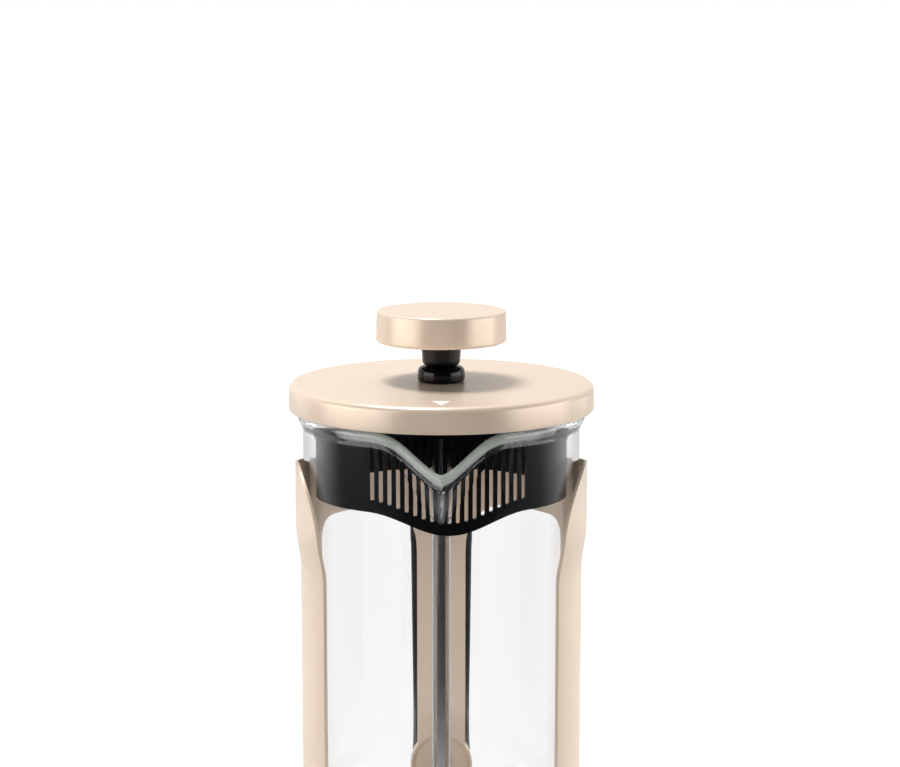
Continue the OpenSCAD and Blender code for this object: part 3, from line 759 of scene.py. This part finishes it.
# %% [markdown]
# The screen is woven from stainless wire: each strand passes over one neighbour and under the next.
# A real one has about thirty wires to the centimetre, too fine to show, so it is drawn five times
# coarser. The hub passes through a hole in the middle, and a rolled hem holds the cut ends.

# %% Woven screen
screen_low, screen_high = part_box("mesh_screen")
SCREEN_R = screen_high.x / MM - 0.4
SCREEN_Z = (screen_low.z + screen_high.z) / MM / 2
PITCH = 1.6  # from one strand to the next
STRAND_R = 0.1
HEM_R = 0.19  # radius of the rolled hem
HUB_R = 3.4  # no strand crosses the hub


def woven_screen():
    """Strands both ways, cut to a disc, with the hem round them."""
    verts, faces = [], []
    count = int(SCREEN_R / PITCH)
    for way in (0, 1):
        for i in range(-count, count + 1):
            across = i * PITCH
            reach = math.sqrt(max(0.0, SCREEN_R ** 2 - across ** 2))
            steps = int(reach / (PITCH / 2))
            hole = math.sqrt(max(0.0, HUB_R ** 2 - across ** 2))
            gap = int(hole * 2 / PITCH) + 1
            runs = ((-steps, -gap), (gap, steps)) if hole else ((-steps, steps),)
            for first, last in runs:
                points = []
                for k in range(first, last + 1):
                    lift = STRAND_R * math.cos(math.pi * (k / 2 + i + way))
                    at = (k * PITCH / 2, across) if way == 0 else (across, k * PITCH / 2)
                    points.append((*at, SCREEN_Z + lift))
                if len(points) > 2:
                    more_verts, more_faces = wire(points, STRAND_R, 4)
                    base = len(verts)
                    verts += more_verts
                    faces += [tuple(base + v for v in face) for face in more_faces]
    hem = []
    for k in range(180):
        a = math.radians(2 * k)
        hem.append(((SCREEN_R + 0.2) * math.cos(a), (SCREEN_R + 0.2) * math.sin(a), SCREEN_Z))
    more_verts, more_faces = wire(hem, HEM_R, 8, closed=True)
    base = len(verts)
    faces += [tuple(base + v for v in face) for face in more_faces]
    return mesh_object("woven_screen", verts + more_verts, faces, spring_steel, "filter", "mesh_steel",
                       "mesh_screen", smooth_angle=80)


screen = woven_screen()
print("screen has", len(screen.data.vertices), "points")

# %% [markdown]
# The camera stands in front of the spout and looks slightly down, from about three quarters of a
# metre. The lens is rather long, so the knob and the lid keep their shape.

# %% Camera
CAMERA_AWAY = 737.1 * MM
CAMERA_ABOVE_LID = 132.4 * MM
CAMERA_DOWN = math.radians(9.57)
camera_data = bpy.data.cameras.new("camera")
camera_data.sensor_width = 36.0
camera_data.lens = 86.34  # millimetres
camera_data.shift_x = 0.0097  # the press stands a little left of the middle
camera = bpy.data.objects.new("camera", camera_data)
camera.location = (0, -CAMERA_AWAY, lid_z + CAMERA_ABOVE_LID)
camera.rotation_euler = (math.radians(90) - CAMERA_DOWN, 0, 0)
bpy.context.scene.collection.objects.link(camera)
bpy.context.scene.camera = camera
print("camera at", tuple(round(c, 3) for c in camera.location))

# %% [markdown]
# The press stands before a white backdrop in an otherwise dim studio. Two broad, low soft boxes
# stand to its left and right, a little to the front. Between them it is dark, and that gap is what
# a satin cylinder shows as its darker centre. A small, bright box hangs high over its left side and
# throws the knob's soft shadow on the lid. Two narrow beams from behind brighten the frame's edges,
# and a low fill in front lifts the shadows. Two thin strips inside the beaker stand for the light
# that a white table throws up into it. The fill and the strips would show as spots in the steel and
# the glass, so they are hidden from reflections and from what is seen through glass. Area lamps are
# used because their size sets how soft an edge the highlights have.

# %% Lights
BOX_AWAY = 0.9
BOX_SIZE = (0.96, 0.56)
BEAM_SIZE = (0.3, 0.06)
BEAM_SPREAD = math.radians(15)
STRIP_SIZE = (0.012, 0.11)
STRIP_SPREAD = math.radians(150)
STRIP_OUT = 0.03
STRIP_HEIGHT = 0.09


def soft_box(name, azimuth, away, height, size, radiance, target_height):
    """An area lamp aimed at the press; azimuth is turned from the front, positive to the right."""
    turn = math.radians(azimuth)
    place = Vector((away * math.sin(turn), -away * math.cos(turn), height))
    target = Vector((0, 0, target_height))
    lamp = bpy.data.lights.new(name, "AREA")
    lamp.shape = "RECTANGLE"
    lamp.size, lamp.size_y = size
    lamp.energy = radiance * math.pi * size[0] * size[1]
    holder = bpy.data.objects.new(name, lamp)
    holder.location = place
    holder.rotation_euler = (target - place).to_track_quat("-Z", "Y").to_euler()
    holder.visible_camera = False
    bpy.context.scene.collection.objects.link(holder)
    return holder


soft_box("soft_box_left", -66, BOX_AWAY, 0.25, BOX_SIZE, 3.1, 0.2)
soft_box("soft_box_right", 78, BOX_AWAY, 0.25, BOX_SIZE, 2.9, 0.2)
edge_left = soft_box("edge_light_left", -130, BOX_AWAY, 0.09, BEAM_SIZE, 0.65, 0.08)
edge_right = soft_box("edge_light_right", 130, BOX_AWAY, 0.09, BEAM_SIZE, 0.75, 0.08)
soft_box("soft_box_top", -110, 0.22, 1.1, (0.3, 0.3), 27.5, 0.2)
fill = soft_box("front_fill", 0, BOX_AWAY, 0.04, (0.5, 0.3), 4.8, 0.12)
for lamp in (edge_left, edge_right):
    lamp.data.spread = BEAM_SPREAD
inner = []
for name, side in (("inner_glow_left", -1), ("inner_glow_right", 1)):
    lamp = soft_box(name, 0, STRIP_OUT, STRIP_HEIGHT, STRIP_SIZE, 6.0, STRIP_HEIGHT)
    lamp.location.x = STRIP_OUT * side
    lamp.data.spread = STRIP_SPREAD
    inner.append(lamp)
for lamp in (fill, *inner):
    lamp.visible_glossy = False
    lamp.visible_transmission = False

# %% [markdown]
# The floor and the backdrop are plain white where they are looked at, straight or through the
# glass. Light that has bounced off the press finds the backdrop and the table behind it white,
# and the studio dim in front. A studio gets this by lighting the backdrop by itself. The table
# close to the press is bright all round, so that some light reaches the filter from below.

# %% World and floor
def looked_at(tree):
    """1 on a path from the eye that has met nothing but clear glass, else 0."""
    path = add(tree, "ShaderNodeLightPath")
    bounces = add(tree, "ShaderNodeMath", {0: path.outputs["Diffuse Depth"],
                                           1: path.outputs["Glossy Depth"]}, operation="ADD")
    return add(tree, "ShaderNodeMath", {0: bounces.outputs["Value"]}, {1: 0.5},
               operation="LESS_THAN").outputs["Value"]


BACKDROP_SEEN = 1.02  # what the eye sees behind the press
DIM_FRONT = 0.015  # what the press gets from the front of the room
WHITE_BACK = 0.75  # what it gets from the backdrop and the table before it
BACK_FROM = -0.1  # share of a direction that points backward, where the white begins
BACK_FULL = 0.5
NEAR_TABLE = 0.7  # what it gets from the table close by
FLOOR_BOUNCE = 0.02  # shade of the floor for bounced light
FLOOR_SEEN = 0.4  # shade of the floor for the eye, which keeps a soft shadow in it
FLOOR_GLOW = 0.66  # glow of the floor close to the press; it is white far away
world = bpy.data.worlds.new("white_studio")
bpy.context.scene.world = world
world.use_nodes = True
sky = world.node_tree
sky.nodes.clear()
direction = add(sky, "ShaderNodeSeparateXYZ",
                {"Vector": add(sky, "ShaderNodeTexCoord").outputs["Generated"]})
backness = add(sky, "ShaderNodeMapRange", {"Value": direction.outputs["Y"]},
               {"From Min": BACK_FROM, "From Max": BACK_FULL, "To Min": DIM_FRONT, "To Max": WHITE_BACK},
               interpolation_type="SMOOTHSTEP")
studio_air = add(sky, "ShaderNodeBackground", {"Strength": backness.outputs["Result"]},
                 {"Color": (1, 1, 1, 1)})
backdrop = add(sky, "ShaderNodeBackground",
               values={"Color": (1, 1, 1, 1), "Strength": BACKDROP_SEEN})
mixed = add(sky, "ShaderNodeMixShader", {"Fac": looked_at(sky)})
sky.links.new(studio_air.outputs["Background"], mixed.inputs[1])
sky.links.new(backdrop.outputs["Background"], mixed.inputs[2])
add(sky, "ShaderNodeOutputWorld", {"Surface": mixed.outputs["Shader"]})

floor_material, floor_tree, floor_shader, floor_output = new_material("white_floor")
eye = looked_at(floor_tree)
floor_shade = add(floor_tree, "ShaderNodeMapRange", {"Value": eye},
                  {"To Min": FLOOR_BOUNCE, "To Max": FLOOR_SEEN})
floor_tree.links.new(floor_shade.outputs["Result"], floor_shader.inputs["Base Color"])
floor_shader.inputs["Roughness"].default_value = 0.9
floor_shader.inputs["Specular IOR Level"].default_value = 0.0
floor_place = add(floor_tree, "ShaderNodeTexCoord").outputs["Object"]
from_press = add(floor_tree, "ShaderNodeVectorMath", {0: floor_place}, operation="LENGTH")
glow_seen = add(floor_tree, "ShaderNodeMapRange", {"Value": from_press.outputs["Value"]},
                {"From Min": 0.15, "From Max": 1.5, "To Min": FLOOR_GLOW, "To Max": 1.0},
                interpolation_type="SMOOTHSTEP")
toward = add(floor_tree, "ShaderNodeSeparateXYZ",
             {"Vector": add(floor_tree, "ShaderNodeVectorMath", {0: floor_place},
                            operation="NORMALIZE").outputs["Vector"]})
glow_felt = add(floor_tree, "ShaderNodeMapRange", {"Value": toward.outputs["Y"]},
                {"From Min": BACK_FROM, "From Max": BACK_FULL, "To Min": 0.0, "To Max": WHITE_BACK},
                interpolation_type="SMOOTHSTEP")
glow_near = add(floor_tree, "ShaderNodeMapRange", {"Value": from_press.outputs["Value"]},
                {"From Min": 0.08, "From Max": 0.3, "To Min": NEAR_TABLE, "To Max": 0.0},
                interpolation_type="SMOOTHSTEP")
glow_both = add(floor_tree, "ShaderNodeMath", {0: glow_felt.outputs["Result"],
                                               1: glow_near.outputs["Result"]}, operation="MAXIMUM")
glow_power = add(floor_tree, "ShaderNodeMix", {"Factor": eye}, data_type="FLOAT")
floor_tree.links.new(glow_both.outputs["Value"], glow_power.inputs[2])
floor_tree.links.new(glow_seen.outputs["Result"], glow_power.inputs[3])
glow = add(floor_tree, "ShaderNodeEmission", {"Strength": glow_power.outputs[0]})
lit_floor = add(floor_tree, "ShaderNodeAddShader")
floor_tree.links.new(floor_shader.outputs["BSDF"], lit_floor.inputs[0])
floor_tree.links.new(glow.outputs["Emission"], lit_floor.inputs[1])
floor_tree.links.new(lit_floor.outputs["Shader"], floor_output.inputs["Surface"])
FLOOR_REACH = 8.0
floor_mesh = bpy.data.meshes.new("floor")
floor_corners = [(-FLOOR_REACH, -FLOOR_REACH, 0), (FLOOR_REACH, -FLOOR_REACH, 0),
                 (FLOOR_REACH, FLOOR_REACH, 0), (-FLOOR_REACH, FLOOR_REACH, 0)]
floor_mesh.from_pydata(floor_corners, [], [(0, 1, 2, 3)])
floor = bpy.data.objects.new("floor", floor_mesh)
floor_mesh.materials.append(floor_material)
bpy.context.scene.collection.objects.link(floor)
bpy.context.scene.view_settings.view_transform = "Standard"
print("floor reaches %.0f m each way" % FLOOR_REACH)
